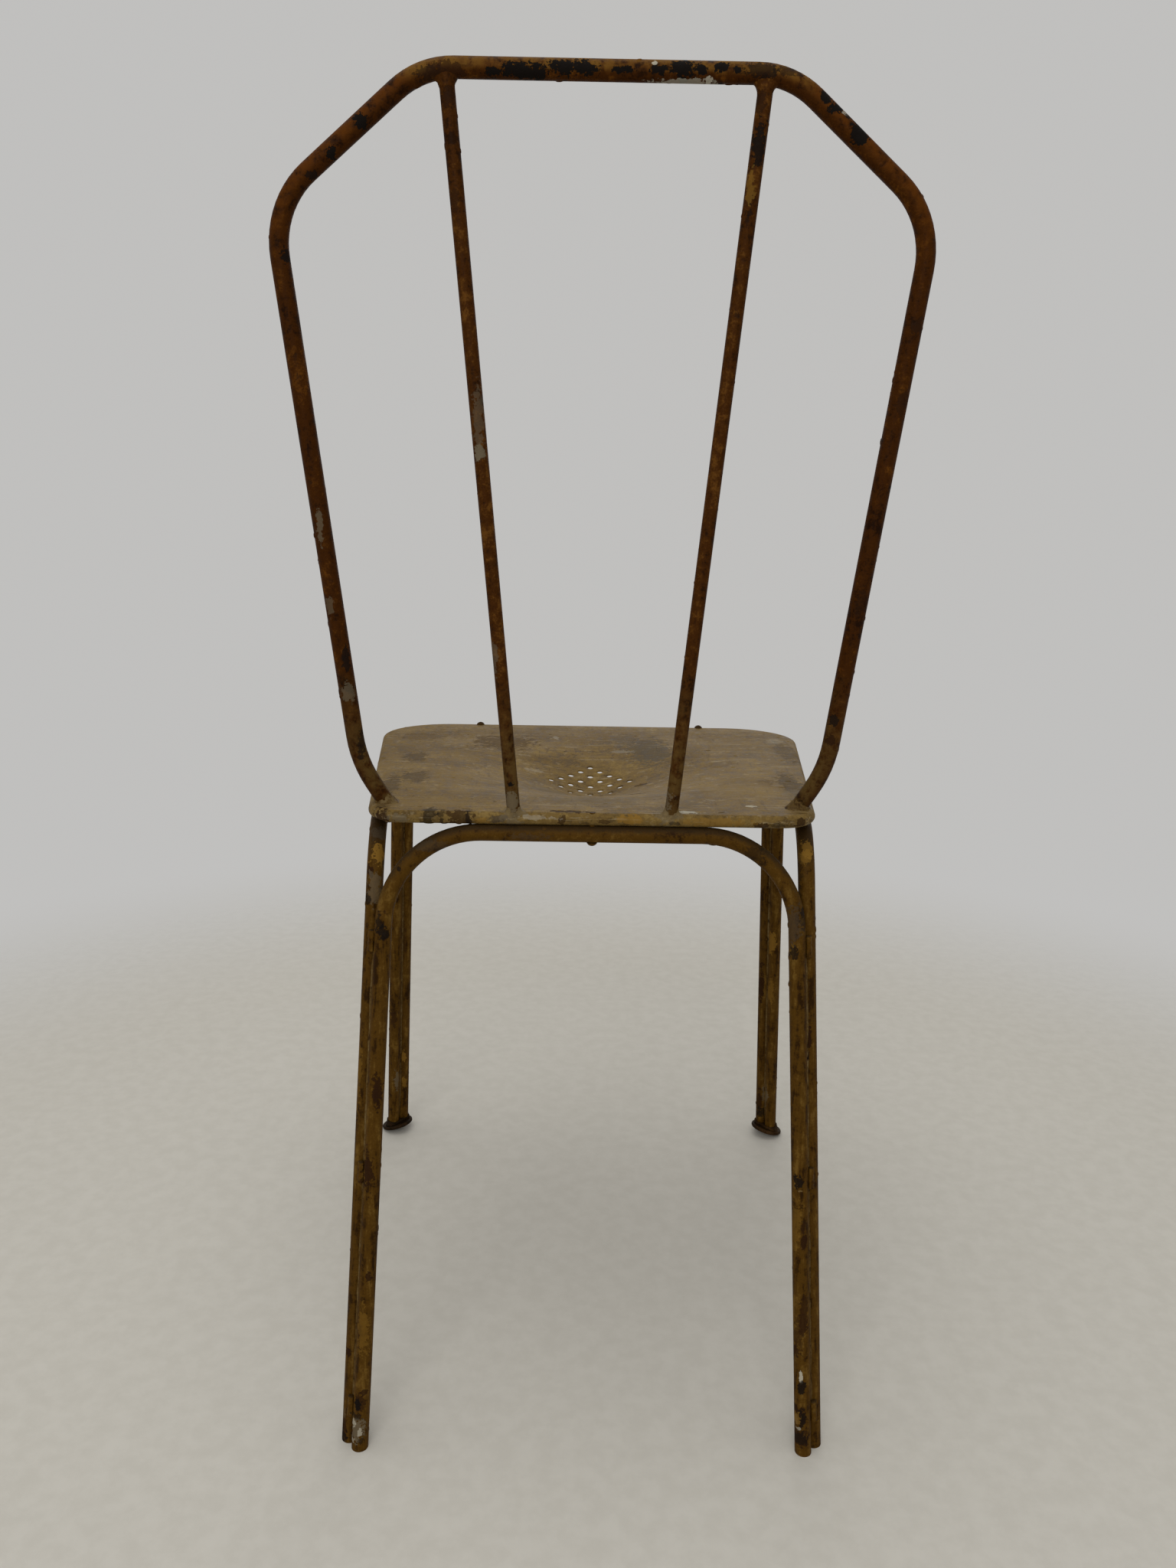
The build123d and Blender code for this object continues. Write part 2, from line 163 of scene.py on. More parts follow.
# Ranges over which one look turns into the next: of the noise, of a normal's rise, or of heights in metres
DULL_TONE = (-0.22, 0.0)
BRIGHT_TONE = (0.02, 0.28)
# rise of the normal over which the painted dark sheen and shade of upper sides sets in
PAINTED_SHEEN_UPWARD = (0.2, 0.75)
TINT_PATCHES = (0.3, 0.6)
TINT_UPWARD = (-0.6, 0.1)
STREAK_FADE = (0.400, 0.440)
SCRATCH_EDGE = (0.60, 0.68)
RUST_EDGE = (0.93, 0.98)
BLACK_EDGE = (0.985, 1.01)
SPOT_EDGE = (1.05, 0.85)
ROUGH_NOISE = (0.3, 0.9)
ROUGHNESS = (0.42, 0.75)
SPECULAR = 0.035
BUMP_STRENGTH = 0.8
BUMP_DEPTH = 0.0007

# Marks on the old paint, and on the seat one band of painted shade, by the node that carries them: colour,
# strength, and the middle and half size of each in pixels of the photograph
HOOP_MARKS = {
    "back_hoop": (
        ("black", 1, 677, 90, 22, 10), ("black", 1, 704, 95, 13, 9), ("black", 1, 734, 87, 17, 8),
        ("black", 1, 765, 88, 17, 9), ("black", 1, 642, 93, 10, 5), ("black", 1, 815, 91, 14, 5),
        ("black", 1, 862, 90, 12, 7), ("black", 1, 891, 89, 19, 12), ("black", 1, 892, 104, 6, 5),
        ("black", 1, 917, 91, 8, 6), ("black", 1, 942, 87, 10, 6), ("black", 1, 963, 91, 5, 4),
        ("black", 0.75, 997, 92, 22, 12), ("black", 0.6, 1030, 92, 18, 9),
        ("black", 0.6, 560, 96, 20, 8), ("rust", 0.7, 585, 92, 24, 12),
        ("white", 0.45, 892, 107, 40, 3), ("white", 0.7, 925, 105, 5, 4), ("white", 0.8, 855, 82, 4, 3),
        ("rust", 0.9, 584, 108, 12, 12), ("black", 1, 472, 158, 9, 9), ("black", 1, 432, 201, 6, 8),
        ("black", 0.8, 408, 229, 8, 6), ("black", 1, 1079, 127, 8, 8), ("black", 1, 1092, 141, 9, 8),
        ("black", 1, 1125, 172, 13, 16), ("white", 0.5, 1104, 148, 4, 3),
        ("black", 0.8, 1112, 150, 8, 6), ("black", 0.9, 373, 335, 8, 9), ("rust", 0.6, 393, 421, 9, 14),
        ("grey", 0.55, 418, 691, 4, 24), ("grey", 0.4, 431, 793, 6, 12),
        ("black", 0.8, 452, 860, 5, 17), ("grey", 0.5, 455, 903, 9, 13),
        ("black", 0.7, 472, 972, 5, 18), ("rust", 0.8, 1198, 426, 8, 10),
        ("rust", 0.6, 1178, 530, 7, 16), ("black", 0.9, 1165, 638, 4, 5),
        ("rust", 0.5, 1125, 788, 7, 18), ("black", 0.8, 1089, 941, 5, 7),
        ("rust", 0.8, 1085, 967, 6, 7),
    ),
}
SPINDLE_MARKS = {
    "right_spindle": (
        ("black", 0.9, 991, 187, 9, 24), ("rust", 0.7, 992, 131, 9, 11),
        ("ochre", 0.4, 979, 247, 6, 24), ("black", 0.7, 979, 278, 5, 6),
        ("grey", 0.5, 869, 1040, 11, 16),
    ),
    "left_spindle": (
        ("grey", 0.35, 625, 554, 7, 40), ("grey", 0.85, 627, 590, 8, 10),
        ("grey", 0.4, 645, 859, 6, 22), ("black", 1, 667, 1025, 4, 4),
        ("grey", 0.65, 668, 1046, 11, 14), ("rust", 0.8, 584, 128, 10, 12),
        ("rust", 0.6, 594, 260, 6, 12),
    ),
}
FRAME_MARKS = {
    "left_side_hoop": (
        ("ochre", 0.7, 495, 1114, 10, 15), ("dull", 0.6, 497, 1089, 11, 9),
        ("rust", 0.9, 484, 1137, 5, 6), ("grey", 0.45, 489, 1160, 10, 22),
        ("black", 0.8, 480, 1175, 4, 6), ("rust", 0.9, 455, 1766, 4, 6),
        ("rust", 0.8, 448, 1866, 7, 16), ("grey", 0.4, 446, 1840, 6, 10),
        ("black", 0.7, 447, 1872, 9, 12), ("grey", 0.6, 518, 1411, 3, 14),
        ("black", 0.7, 503, 1125, 3, 5), ("rust", 0.7, 515, 1330, 5, 14),
        ("ochre", 0.3, 468, 1400, 6, 60),
    ),
    "rear_arch": (
        ("black", 0.8, 494, 1203, 5, 10), ("black", 0.85, 500, 1219, 9, 8),
        ("black", 0.8, 521, 1135, 3, 3), ("rust", 0.9, 492, 1425, 6, 22),
        ("rust", 0.9, 480, 1531, 8, 28), ("rust", 0.9, 482, 1667, 4, 7),
        ("rust", 0.7, 469, 1832, 9, 16), ("black", 0.95, 467, 1834, 5, 9),
        ("grey", 0.75, 466, 1868, 11, 17), ("black", 0.8, 1037, 1246, 5, 11),
        ("dull", 0.5, 1037, 1210, 12, 24), ("black", 0.6, 1049, 1192, 4, 7),
        ("black", 0.9, 1043, 1545, 6, 10), ("sand", 0.5, 1046, 1556, 4, 2),
        ("rust", 0.8, 1049, 1604, 4, 9), ("rust", 0.7, 1049, 1718, 5, 33),
        ("rust", 0.9, 1050, 1622, 4, 9), ("rust", 0.8, 1038, 1765, 5, 7),
        ("white", 0.85, 1046, 1799, 2, 7), ("black", 0.9, 1047, 1814, 4, 8),
        ("rust", 0.9, 1038, 1839, 6, 8), ("rust", 0.8, 1046, 1850, 7, 13),
        ("rust", 0.8, 1042, 1876, 12, 14), ("grey", 0.5, 1039, 1853, 4, 7),
        ("dull", 0.35, 690, 1093, 26, 5), ("black", 0.5, 985, 1118, 16, 10),
        ("white", 0.6, 462, 1858, 4, 5), ("white", 0.55, 470, 1872, 4, 6),
        ("white", 0.5, 460, 1878, 5, 4), ("black", 0.7, 466, 1850, 8, 4),
        ("black", 0.6, 472, 1882, 4, 5), ("rust", 0.8, 475, 1820, 5, 6),
        ("black", 0.8, 1047, 1855, 5, 14), ("ochre", 0.5, 1040, 1852, 5, 8),
        ("white", 0.5, 1043, 1866, 4, 3), ("black", 0.7, 1044, 1878, 9, 8),
        ("rust", 0.5, 1044, 1739, 8, 25), ("black", 0.6, 1049, 1200, 6, 14),
        ("dull", 0.35, 560, 1105, 24, 8), ("ochre", 0.25, 1037, 1600, 10, 40),
        ("ochre", 0.3, 474, 1740, 7, 40),
    ),
    "front_arch": (
        ("black", 0.8, 512, 1370, 5, 8), ("rust", 0.9, 522, 1390, 3, 15),
        ("rust", 0.8, 992, 1440, 3, 20), ("ochre", 0.6, 527, 1380, 3, 10),
        ("ochre", 0.5, 528, 1415, 3, 10), ("black", 0.8, 992, 1452, 8, 8),
        ("rust", 0.9, 994, 1290, 3, 60), ("rust", 0.5, 527, 1220, 3, 40),
    ),
    "right_side_hoop": (
        ("ochre", 0.5, 1051, 1119, 9, 9), ("rust", 0.9, 1057, 1359, 3, 16),
        ("grey", 0.6, 998, 1428, 4, 18), ("ochre", 0.6, 1007, 1230, 6, 18),
        ("ochre", 0.4, 1006, 1296, 5, 20), ("black", 0.5, 1043, 1140, 4, 30),
        ("ochre", 0.5, 1054, 1107, 7, 16),
    ),
}
SEAT_MARKS = {
    "seat_pan": (
        ("stain", 0.65, 657, 968, 37, 9), ("dull", 0.55, 542, 988, 14, 6),
        ("dull", 0.6, 542, 1014, 19, 7), ("blue", 0.6, 848, 980, 24, 20),
        ("blue", 0.35, 815, 967, 20, 7), ("white", 0.2, 810, 982, 17, 2),
        ("white", 0.35, 726, 964, 4, 2), ("white", 0.2, 698, 1006, 11, 2),
        ("rust", 0.8, 830, 1037, 17, 1.2), ("rust", 0.6, 838, 1025, 10, 1),
        ("rust", 0.8, 744, 1060, 29, 1.5), ("white", 0.7, 898, 1061, 16, 1.6),
        ("white", 0.7, 980, 1053, 7, 1.1), ("dull", 0.5, 1026, 982, 13, 13),
        ("dull", 0.6, 1034, 1026, 15, 15), ("dull", 0.55, 508, 1026, 13, 14),
        ("stain", 0.5, 1000, 1022, 12, 5), ("sand", 0.25, 905, 1018, 22, 10),
        ("rust", 0.75, 598, 1077, 20, 4), ("dull", 0.8, 651, 1070, 12, 6),
        ("rust", 0.85, 498, 1072, 10, 7), ("rust", 0.8, 995, 1079, 13, 5),
        ("rust", 0.8, 1048, 1074, 10, 6), ("ochre", 0.6, 823, 1071, 18, 7),
        ("ochre", 0.4, 939, 1075, 45, 6), ("rust", 0.7, 734, 1071, 4, 6),
        ("grey", 0.5, 871, 1062, 16, 6), ("grey", 0.5, 668, 1060, 18, 5),
        ("blue", 0.3, 770, 1046, 60, 8), ("sand", 0.3, 590, 1012, 30, 7),
        ("stain", 0.35, 552, 962, 26, 5), ("sand", 0.3, 960, 975, 40, 8),
        ("sand", 0.5, 565, 1048, 70, 8), ("sand", 0.4, 965, 1030, 50, 14),
        ("sand", 0.3, 600, 985, 30, 6), ("grey", 0.6, 520, 1068, 14, 5),
        ("black", 0.7, 560, 1079, 10, 3), ("black", 0.6, 577, 1075, 5, 3),
        ("black", 0.7, 612, 1077, 6, 2), ("ochre", 0.4, 630, 1072, 9, 4),
        ("white", 0.25, 700, 1068, 25, 3), ("black", 0.6, 880, 1076, 10, 3),
        ("rust", 0.6, 790, 1074, 8, 3), ("black", 0.5, 1015, 1078, 12, 4),
        ("grey", 0.4, 1040, 1040, 12, 8), ("blue", 0.3, 725, 1035, 50, 6),
        ("stain", 0.25, 690, 990, 40, 5), ("stain", 0.25, 900, 990, 30, 6),
        ("white", 0.2, 1012, 968, 10, 4), ("stain", 0.3, 940, 1000, 20, 3),
        # the wide band across the front of the seat is painted shade, darker where the seat is less lit
        ("stain", 0.25, 770, 960, 230, 9),
    ),
}

# Placing of marks: how level a surface counts as flat, the least slant to it, depths in metres, and the steps
# along a line of sight that passes beside its node
FLAT_NORMAL = 0.75
LEAST_SLANT = 0.2
MARK_DEPTH = 0.0055
MARK_DEPTH_FLAT = 0.012
SIGHT_STEP = 0.002
SIGHT_STEPS = range(300, 700)

# Large blisters: the node that carries each, its pixel in the photograph and its size in metres
HOOP_LUMPS = (
    ("back_hoop", 1151, 220, 0.0026), ("back_hoop", 408, 700, 0.0018), ("back_hoop", 440, 905, 0.0020),
    ("back_hoop", 1128, 880, 0.0018), ("back_hoop", 730, 108, 0.0020), ("back_hoop", 835, 78, 0.0018),
)
FRAME_LUMPS = (
    ("rear_arch", 1026, 1208, 0.0022), ("rear_arch", 1027, 1250, 0.0022),
    ("rear_arch", 1027, 1285, 0.0024), ("right_side_hoop", 1065, 1215, 0.0022),
    ("rear_arch", 1048, 1195, 0.0028), ("rear_arch", 1044, 1215, 0.0026),
    ("rear_arch", 497, 1200, 0.0028), ("rear_arch", 503, 1222, 0.0026),
    ("left_side_hoop", 478, 1180, 0.0024), ("front_arch", 983, 1440, 0.0020),
    ("rear_arch", 930, 1106, 0.0022), ("rear_arch", 1052, 1840, 0.0020),
)
SEAT_LUMPS = (
    ("seat_pan", 500, 1068, 0.0032), ("seat_pan", 506, 1076, 0.0028), ("seat_pan", 1046, 1070, 0.0032),
    ("seat_pan", 995, 1077, 0.0030), ("seat_pan", 560, 1076, 0.0026), ("seat_pan", 580, 1075, 0.0030),
    ("seat_pan", 600, 1075, 0.0026), ("seat_pan", 650, 1070, 0.0028), ("seat_pan", 512, 1018, 0.0026),
    ("seat_pan", 1030, 1020, 0.0028), ("seat_pan", 1022, 1028, 0.0024),
    ("seat_pan", 1036, 1046, 0.0026),
)

# Welds: sizes in metres, and shares
TUBE_R = 0.006
SPINDLE_R = 0.0046
RIPPLE_FINER = 2.3
RIPPLE_SHARE = 0.5
WELD_VOXEL = 0.0005
WELD_WAVE = 0.0030
LEG_BEAD = {"lump": 0.0004, "rounding": 30}
GLIDE_BEAD = {"lump": 0.0005, "rounding": 4}
FILLET_SIDES = 64
FILLET_STEPS = 12
FILLET_UNEVEN = 0.35
FILLET_WAVE = 0.0038
FILLET_BITE = 0.985
FILLET_SEARCH = 2
FILLET_SINK = 0.0003
FILLET_BOW = 0.25
FILLET_RIPPLE = 0.0024
HOOP_FILLET = {"radius": TUBE_R, "rise": 0.0050, "spread": 0.0042, "lump": 0.0007}
SPINDLE_FOOT_FILLET = {"radius": SPINDLE_R, "rise": 0.0042, "spread": 0.0034, "lump": 0.0004}
SPINDLE_TOP_FILLET = {"radius": SPINDLE_R, "rise": 0.0060, "spread": 0.0032, "lump": 0.0004}

# Ranges above a node's lowest point, in metres, over which its middle is taken
END_LEVEL = (0.0, 0.001)
KNEE_LEVEL = (0.010, 0.035)
SPINDLE_TOP_LEVEL = (0.440, 0.460)
LOW_BEAD_LEVEL = (0.0, 0.020)
HIGH_BEAD_LEVEL = (0.340, 0.360)

# Paint in the leg grooves, pale in part as a painted highlight of the tubes' lit edges: sizes and heights
# above the floor in metres, and shares
SEAM_STEPS = 90
SEAM_SIDES = 16
SEAM_HALF = 0.0016
SEAM_REACH = 0.0035
SEAM_UNEVEN = 0.14
SEAM_WAVE = 0.011
SEAM_TAPER = 8
SEAM_TIP = 0.3
SEAM_BOTTOM = {"rear": 0.004, "front": 0.012}
SEAM_TOP = 0.390
BEAD_OUT = 0.0052

# Blisters: sizes in metres, shares of a blister's size, and how many there are on each node
BLISTER_SIDES = 10
BLISTER_RINGS = ((1.0, -0.15), (0.7, 0.55), (0.35, 0.95))
BLISTER_LONG = (1.0, 1.9)
BLISTER_RISE = (0.14, 0.26)
BLISTER_RAGGED = (0.8, 1.2)
BLISTER_LIFT = 0.0004
BLISTER_CLEAR = 0.012
HOOP_SCABS = {"count": 170, "sizes": (0.0008, 0.0020), "seed": 5}
SPINDLE_SCABS = {"count": 45, "sizes": (0.0007, 0.0016), "seed": 6}
FRAME_SCABS = {"count": 130, "sizes": (0.0008, 0.0020), "seed": 7}
SEAT_SCABS = {"count": 150, "sizes": (0.0008, 0.0022), "seed": 8}

# Places of the colour sockets on a Mix node
MIX_FIRST = 6
MIX_SECOND = 7
MIX_RESULT = 2


def camera_axes():
    """The camera's right, up and viewing directions."""
    turn = Matrix.Rotation(radians(CAMERA_YAW), 3, "Z")
    right = turn @ Vector((-1, 0, 0))
    ahead = turn @ Vector((0, -1, 0))
    up = Vector((0, 0, 1))
    pitch = radians(CAMERA_PITCH)
    roll = radians(CAMERA_ROLL)
    look = cos(pitch) * ahead + sin(pitch) * up
    top = cos(pitch) * up - sin(pitch) * ahead
    across = cos(roll) * right + sin(roll) * top
    top = cos(roll) * top - sin(roll) * right
    return across, top, look


ACROSS, TOP, LOOK = camera_axes()


def under_pixel(node, x, y):
    """The spot of a node that a pixel shows or comes nearest to: its place, normal and line of sight."""
    right = (x - PICTURE_WIDTH / 2) / FOCAL_PIXELS
    down = (y - PICTURE_HEIGHT / 2) / FOCAL_PIXELS
    sight = (LOOK + ACROSS * right - TOP * down).normalized()
    place, normal = SURFACES[node].ray_cast(CAMERA_PLACE, sight)[:2]
    if place is None:
        beside = [CAMERA_PLACE + sight * (SIGHT_STEP * i) for i in SIGHT_STEPS]
        found = [SURFACES[node].find_nearest(spot) for spot in beside]
        place, normal = min(found, key=lambda hit: hit[-1])[:2]
    return place, normal, sight


def placed_marks(marks):
    """Each mark's colour, strength, place and reach in metres."""
    placed = []
    for node, rows in marks.items():
        for word, strength, x, y, wide, high in rows:
            place, normal, sight = under_pixel(node, x, y)
            pixel = (place - CAMERA_PLACE).dot(LOOK) / FOCAL_PIXELS
            reach = (wide * pixel, MARK_DEPTH, high * pixel)
            if node == "seat_pan" and abs(normal.z) > FLAT_NORMAL:
                slant = max(abs(sight.dot(normal)), LEAST_SLANT)
                reach = (wide * pixel, high * pixel / slant, MARK_DEPTH_FLAT)
            placed.append((MARK_COLOURS[word], strength, place, reach))
    return placed


def level_middle(node, side, level):
    """The middle of a node's points on one side of the chair, in a range above its lowest point."""
    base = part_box(node)[0].z
    low, high = level
    points = [point.co for point in NODES[node].data.vertices if point.co.x * side > 0]
    points = [point for point in points if low <= point.z - base <= high]
    return Vector([(min(values) + max(values)) / 2 for values in zip(*points)])


def ripple(place, wave):
    """Uneven swelling of something laid by hand, with waves of about this length."""
    return noise.noise(place / wave) + RIPPLE_SHARE * noise.noise(place * (RIPPLE_FINER / wave))


class Tree:
    """Short forms for building one material's nodes."""

    def __init__(self, name):
        self.material = bpy.data.materials.new(name)
        self.material.use_nodes = True
        self.tree = self.material.node_tree
        self.tree.nodes.clear()
        self.place = self.add("ShaderNodeTexCoord").outputs["Object"]

    def add(self, kind, **settings):
        made = self.tree.nodes.new(kind)
        for key, value in settings.items():
            setattr(made, key, value)
        return made

    def feed(self, socket, value):
        if isinstance(value, bpy.types.NodeSocket):
            self.tree.links.new(value, socket)
        else:
            socket.default_value = value

    def math(self, operation, first, second):
        made = self.add("ShaderNodeMath", operation=operation)
        self.feed(made.inputs[0], first)
        self.feed(made.inputs[1], second)
        return made.outputs[0]

    def vector(self, operation, first, second):
        made = self.add("ShaderNodeVectorMath", operation=operation)
        self.feed(made.inputs[0], first)
        self.feed(made.inputs[1], second)
        return made

    def cloud(self, scale, detail, stretch=(1, 1, 1), shift=(0, 0, 0), grow=1.0):
        """Noise whose features are about grow/scale metres, longer along an axis whose stretch is below 1."""
        place = self.vector("MULTIPLY_ADD", self.place, stretch)
        place.inputs[2].default_value = shift
        made = self.add("ShaderNodeTexNoise")
        self.feed(made.inputs["Vector"], place.outputs[0])
        made.inputs["Scale"].default_value = scale / grow
        made.inputs["Detail"].default_value = detail
        made.inputs["Roughness"].default_value = NOISE_ROUGHNESS
        return made.outputs["Fac"]

    def sway(self, field, amount):
        """A noise field turned into a swing about zero."""
        return self.math("MULTIPLY", self.math("SUBTRACT", field, NOISE_MIDDLE), amount)

    def step(self, value, low, high, start=0.0, end=1.0):
        made = self.add("ShaderNodeMapRange", interpolation_type="SMOOTHSTEP")
        for socket, given in zip(made.inputs, (value, low, high, start, end)):
            self.feed(socket, given)
        return made.outputs[0]

    def mix(self, share, first, second):
        made = self.add("ShaderNodeMix", data_type="RGBA")
        self.feed(made.inputs[0], share)
        self.feed(made.inputs[MIX_FIRST], first)
        self.feed(made.inputs[MIX_SECOND], second)
        return made.outputs[MIX_RESULT]

    def height_of(self, vector):
        parts = self.add("ShaderNodeSeparateXYZ")
        self.feed(parts.inputs[0], vector)
        return parts.outputs[2]

    def spot(self, centre, radii, ragged):
        """1 inside a ragged blob about centre, 0 outside."""
        away = self.vector("SUBTRACT", self.place, centre).outputs[0]
        scaled = self.vector("DIVIDE", away, radii).outputs[0]
        reach = self.vector("LENGTH", scaled, (0, 0, 0)).outputs["Value"]
        return self.step(self.math("ADD", reach, ragged), *SPOT_EDGE)

    def finish(self, colour, roughness, relief):
        shader = self.add("ShaderNodeBsdfPrincipled")
        self.feed(shader.inputs["Base Color"], colour)
        self.feed(shader.inputs["Roughness"], roughness)
        shader.inputs["Specular IOR Level"].default_value = SPECULAR
        bump = self.add("ShaderNodeBump")
        bump.inputs["Strength"].default_value = BUMP_STRENGTH
        bump.inputs["Distance"].default_value = BUMP_DEPTH
        self.feed(bump.inputs["Height"], relief)
        self.feed(shader.inputs["Normal"], bump.outputs[0])
        output = self.add("ShaderNodeOutputMaterial")
        self.feed(output.inputs[0], shader.outputs[0])
        return self.material


def old_paint(name, tones, marks, vary, chips, painted_sheen,
              streaks=(0, 0), tints=(), scratches=(), shift=0.0, patch=1.0):
    """Weathered paint: three tones, streaks on and above the legs, a painted dark sheen and shade on the upper
    sides, chips and marks.
    """
    t = Tree(name)
    away = tuple(shift * share for share in PATTERN_SHIFT)
    broad = t.cloud(*BROAD, shift=away)
    mottled = t.cloud(*MOTTLE, shift=away)
    grain = t.cloud(*GRAIN, shift=away)
    streak = t.cloud(*STREAK, STREAK_STRETCH, away)
    height = t.height_of(t.place)
    upward = t.height_of(t.add("ShaderNodeNewGeometry").outputs["Normal"])

    tone = t.math("ADD", t.sway(broad, BROAD_SWING * vary), t.sway(mottled, MOTTLE_SWING * vary))
    tone = t.math("ADD", tone, t.sway(streak, t.step(height, *STREAK_FADE, *streaks)))
    tone = t.math("ADD", tone, t.sway(grain, GRAIN_SWING * vary))
    colour = t.mix(t.step(tone, *DULL_TONE), tones[0], tones[1])
    colour = t.mix(t.step(tone, *BRIGHT_TONE), colour, tones[2])
    # painted dark sheen and shade: sides that face upward are darkened toward a dark grey
    painted_sheen_share = t.step(t.math("ADD", upward, t.sway(mottled, PAINTED_SHEEN_SWING)), *PAINTED_SHEEN_UPWARD, 0.0, painted_sheen)
    colour = t.mix(painted_sheen_share, colour, PAINTED_DARK_SHEEN)

    for tint, strength, low, high in tints:
        share = t.step(t.math("ADD", height, t.sway(broad, TINT_SWING)), low, high, 0.0, strength)
        share = t.math("MULTIPLY", share, t.step(mottled, *TINT_PATCHES))
        colour = t.mix(t.math("MULTIPLY", share, t.step(upward, *TINT_UPWARD)), colour, tint)
    for line, strength, stretch, far in scratches:
        drawn = t.cloud(*SCRATCH, stretch, tuple(far * share for share in SCRATCH_SHIFT))
        colour = t.mix(t.step(drawn, *SCRATCH_EDGE, 0.0, strength), colour, line)

    chip_field = t.math("MULTIPLY", t.cloud(*CHIP, shift=away), CHIP_SHARE)
    chip_field = t.math("ADD", chip_field, t.math("MULTIPLY", broad, BROAD_CHIP_SHARE))
    chip_field = t.math("ADD", chip_field, chips)
    rust = t.step(chip_field, *RUST_EDGE, 0.0, RUST_SHARE)
    black = t.step(chip_field, *BLACK_EDGE)
    colour = t.mix(rust, colour, RUST_CHIP)
    colour = t.mix(black, colour, BLACK_CHIP)
    worn = t.math("MAXIMUM", black, t.math("MULTIPLY", rust, RUST_WEAR))

    coarse = t.sway(t.cloud(*RAGGED_COARSE, shift=away, grow=patch), COARSE_SWING)
    fine = t.sway(t.cloud(*RAGGED_FINE, shift=away, grow=patch), FINE_SWING)
    ragged = t.math("ADD", coarse, fine)
    for mark, strength, centre, reach in placed_marks(marks):
        spot = t.math("MULTIPLY", t.spot(centre, reach, ragged), strength)
        colour = t.mix(spot, colour, mark)
        worn = t.math("MAXIMUM", worn, spot)

    relief = t.math("MULTIPLY", mottled, RELIEF_MOTTLE)
    relief = t.math("ADD", relief, t.math("MULTIPLY", grain, RELIEF_GRAIN))
    relief = t.math("SUBTRACT", relief, t.math("MULTIPLY", worn, RELIEF_WEAR))
    rough = t.math("ADD", mottled, t.math("MULTIPLY", worn, ROUGH_WEAR))
    return t.finish(colour, t.step(rough, *ROUGH_NOISE, *ROUGHNESS), relief)


def dress(material, *names):
    for name in names:
        mesh = NODES[name].data
        mesh.materials.clear()
        mesh.materials.append(material)


def mesh_of(name, shape):
    """Turn a finished bmesh into a mesh."""
    mesh = bpy.data.meshes.new(name)
    shape.to_mesh(mesh)
    shape.free()
    return mesh


def keep(name, mesh, material, slot, *replaced):
    """Turn a mesh into a piece that rides with the chair and may stand for CAD nodes."""
    mesh.materials.clear()
    mesh.materials.append(material)
    for face in mesh.polygons:
        face.use_smooth = True
    piece = bpy.data.objects.new(name, mesh)
    SCENE.collection.objects.link(piece)
    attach(piece, "root")
    if replaced:
        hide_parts(*replaced)


def lumpy_weld(node, material, slot, lump, rounding):
    """A weld as it was laid: the CAD node's form with its edges rounded off, and ripples and lumps on it."""
    source = bpy.data.objects.new("weld_source", NODES[node].data.copy())
    SCENE.collection.objects.link(source)
    remesh = source.modifiers.new("remesh", "REMESH")
    remesh.mode = "VOXEL"
    remesh.voxel_size = WELD_VOXEL
    smooth = source.modifiers.new("smooth", "SMOOTH")
    smooth.iterations = rounding
    mesh = bpy.data.meshes.new_from_object(source.evaluated_get(bpy.context.evaluated_depsgraph_get()))
    bpy.data.objects.remove(source)
    moves = [point.co + point.normal * (lump * ripple(point.co, WELD_WAVE)) for point in mesh.vertices]
    for point, place in zip(mesh.vertices, moves):
        point.co = place
    keep(node + "_bead", mesh, material, slot, node)


def fillet_column(surface, foot, axis, out, radius, rise, spread, lump):
    """Points of a hollow fillet's curve, from a bar's side down to the surface that the bar stands on."""
    uneven = 1 + FILLET_UNEVEN * noise.noise((foot + out * radius) / FILLET_WAVE)
    start = foot + axis * (rise * uneven) + out * (radius * FILLET_BITE)
    corner = surface.ray_cast(start, -axis, FILLET_SEARCH * (rise + radius))[0]
    if corner is None:
        corner = surface.find_nearest(start - axis * rise)[0]
    end, upward = surface.find_nearest(corner + out * (spread * uneven))[:2]
    end = end - upward * FILLET_SINK
    bow = corner.lerp((start + end) / 2, FILLET_BOW)
    column = []
    for i in range(FILLET_STEPS + 1):
        share = i / FILLET_STEPS
        spot = start.lerp(bow, share).lerp(bow.lerp(end, share), share)
        swell = lump * sin(pi * share) * ripple(spot, FILLET_RIPPLE)
        column.append(spot + (out + axis) * swell)
    return column


def fillet_welds(name, ground, feet, **sizes):
    """Hollow weld fillets where bars stand on a node, one for each foot and axis."""
    shape = bmesh.new()
    for foot, axis in feet:
        side = axis.orthogonal().normalized()
        other = axis.cross(side)
        columns = []
        for k in range(FILLET_SIDES):
            turn = tau * k / FILLET_SIDES
            out = side * cos(turn) + other * sin(turn)
            column = fillet_column(SURFACES[ground], foot, axis, out, **sizes)
            columns.append([shape.verts.new(spot) for spot in column])
        for one, two in zip(columns, columns[1:] + columns[:1]):
            for i in range(FILLET_STEPS):
                shape.faces.new((one[i], one[i + 1], two[i + 1], two[i]))
    bmesh.ops.recalc_face_normals(shape, faces=shape.faces)
    return mesh_of(name, shape)


